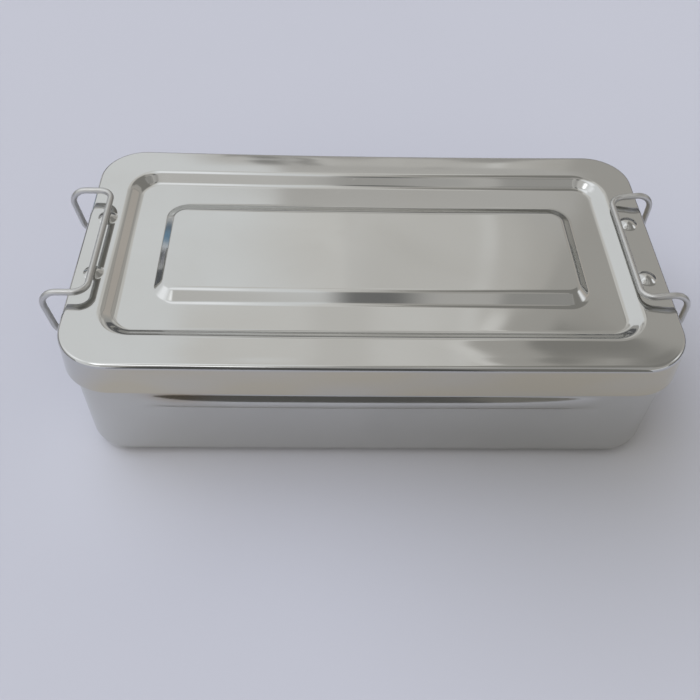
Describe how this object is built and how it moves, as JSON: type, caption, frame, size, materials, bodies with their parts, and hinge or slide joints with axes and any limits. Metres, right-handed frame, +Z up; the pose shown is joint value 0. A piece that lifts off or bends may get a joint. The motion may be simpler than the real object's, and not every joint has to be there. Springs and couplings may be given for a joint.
{
  "type": "instrument tray with lid",
  "caption": "Shallow rectangular pressed-steel instrument tray with a lift-off lid, held shut by a swinging wire bail on each end wall.",
  "frame": {"origin": "centre of the tray's flat underside, on the surface that it stands on", "axes": "+X along the tray towards its right end, +Y towards its back, +Z up"},
  "size_m": [0.2375, 0.1212, 0.0632],
  "materials": {
    "polished_sheet": "polished",
    "strap_sheet": "polished",
    "bail_wire": "polished"
  },
  "bodies": {
    "tray": {"tray_shell": "polished_sheet", "left_hinge_strap": "strap_sheet", "right_hinge_strap": "strap_sheet"},
    "lid": {"lid_shell": "polished_sheet"},
    "left_bail": {"left_bail": "bail_wire"},
    "right_bail": {"right_bail": "bail_wire"}
  },
  "joints": [
    {"name": "lid_lift", "type": "slide", "parent": "tray", "child": "lid", "axis": [0, 0, 1], "range_m": [0, 0.0145]},
    {"name": "left_bail_swing", "type": "hinge", "parent": "tray", "child": "left_bail", "pos_m": [-0.11119, 0, 0.0332], "axis": [0, -1, 0], "range_deg": [-8.78, 149.2]},
    {"name": "right_bail_swing", "type": "hinge", "parent": "tray", "child": "right_bail", "pos_m": [0.11119, 0, 0.0332], "axis": [0, 1, 0], "range_deg": [0, 158]}
  ],
  "couplings": [
    {"joint": "left_bail_swing", "follows": "lid_lift", "rad_per_m": 179.5},
    {"joint": "right_bail_swing", "follows": "lid_lift", "rad_per_m": 190.1}
  ]
}
